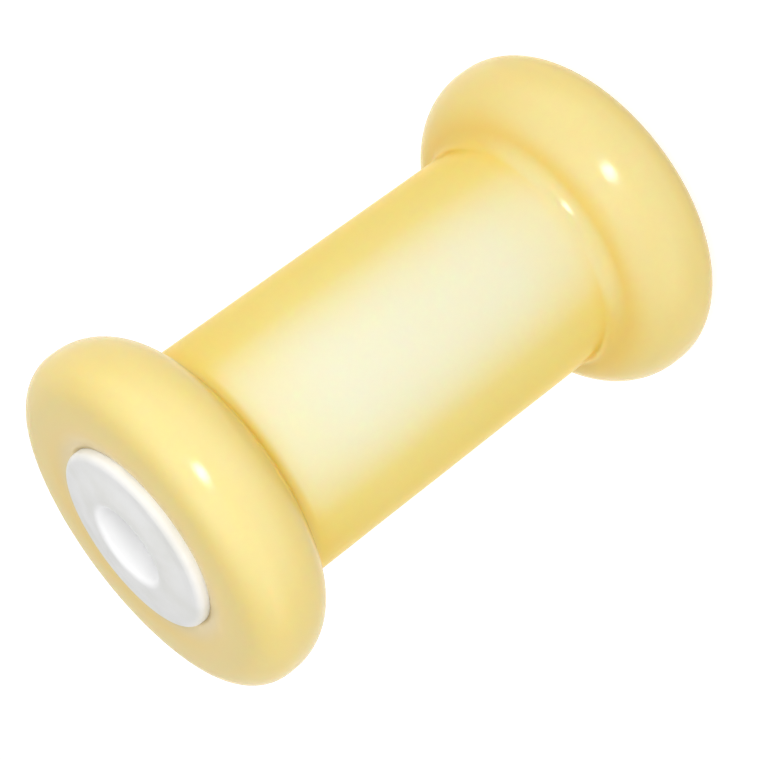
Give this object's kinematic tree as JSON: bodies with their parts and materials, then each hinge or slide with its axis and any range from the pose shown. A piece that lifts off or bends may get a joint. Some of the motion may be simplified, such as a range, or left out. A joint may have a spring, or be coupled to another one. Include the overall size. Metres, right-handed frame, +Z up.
{
  "type": "boat trailer roller",
  "caption": "Spool-shaped keel roller: a soft translucent yellow barrel with bulbous rounded flanges, moulded round a stiff white core with a plain shaft bore.",
  "frame": {"origin": "centre of the lower hub ring of the core, on the surface that the roller stands on", "axes": "+Z up along the roller's axis and its shaft bore; the roller is round about it, so +X and +Y are free"},
  "size_m": [0.0736, 0.0736, 0.127],
  "materials": {
    "soft_urethane": "glossy translucent cream-yellow polyurethane, paler over the core",
    "white_core": "satin white moulded plastic"
  },
  "bodies": {
    "root": {"roller_body": "soft_urethane", "hub_core": "white_core"}
  },
  "joints": []
}
